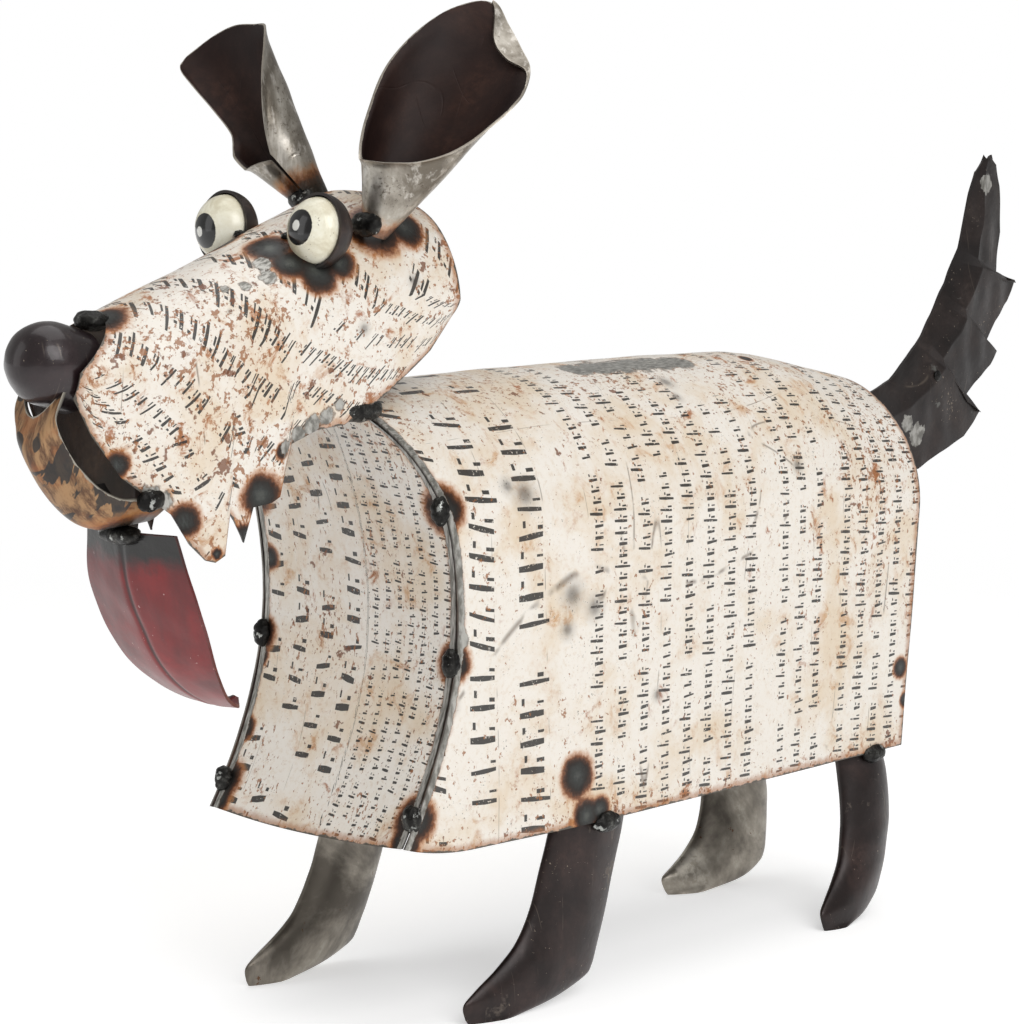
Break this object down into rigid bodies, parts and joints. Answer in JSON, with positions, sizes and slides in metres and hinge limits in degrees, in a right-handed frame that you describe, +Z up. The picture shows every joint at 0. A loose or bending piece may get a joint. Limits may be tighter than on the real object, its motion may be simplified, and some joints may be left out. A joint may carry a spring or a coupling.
{
  "type": "scrap metal dog statue",
  "caption": "Standing dog welded from curved scrap sheet, with a drum-like body, rolled cone ears, bulging eyes, hanging red tongue and flame-edged tail.",
  "frame": {"origin": "on the ground, under the middle of the bounding box", "axes": "+Z up; -Y the way the dog faces; +X towards the dog's own left side"},
  "size_m": [0.1692, 0.6594, 0.4313],
  "materials": {
    "printed_sheet": "worn off-white print on thin sheet, with rust specks",
    "steel_sheet": "stained bare steel",
    "dark_steel": "dark brown, half glossy",
    "grey_steel": "olive grey, half glossy",
    "red_paint": "glossy dark red",
    "white_paint": "glossy cream white",
    "scrap_paint": "scraped tan and orange paint",
    "weld_metal": "dark beads with silver spots"
  },
  "bodies": {
    "root": {"body_shell": "printed_sheet", "chest_panel": "printed_sheet", "ear_left": "steel_sheet", "ear_right": "steel_sheet", "ear_weld_left": "weld_metal", "ear_weld_right": "weld_metal", "eye_cup_left": "dark_steel", "eye_cup_right": "dark_steel", "eye_left": "white_paint", "eye_right": "white_paint", "eye_weld_left": "weld_metal", "eye_weld_right": "weld_metal", "head_shell": "printed_sheet", "jaw_plate": "scrap_paint", "jaw_weld_left": "weld_metal", "jaw_weld_right": "weld_metal", "leg_front_left": "dark_steel", "leg_front_right": "grey_steel", "leg_rear_left": "dark_steel", "leg_rear_right": "grey_steel", "leg_weld_front_left": "weld_metal", "leg_weld_front_right": "weld_metal", "leg_weld_rear_left": "weld_metal", "leg_weld_rear_right": "weld_metal", "neck_weld_left": "weld_metal", "neck_weld_right": "weld_metal", "nose": "dark_steel", "nose_weld": "weld_metal", "rump_plate": "printed_sheet", "seam_tack_left_1": "weld_metal", "seam_tack_left_2": "weld_metal", "seam_tack_left_3": "weld_metal", "seam_tack_right_1": "weld_metal", "seam_tack_right_2": "weld_metal", "seam_tack_right_3": "weld_metal", "tail": "dark_steel", "tail_weld": "weld_metal", "tongue": "red_paint", "tongue_weld": "weld_metal"}
  },
  "joints": []
}
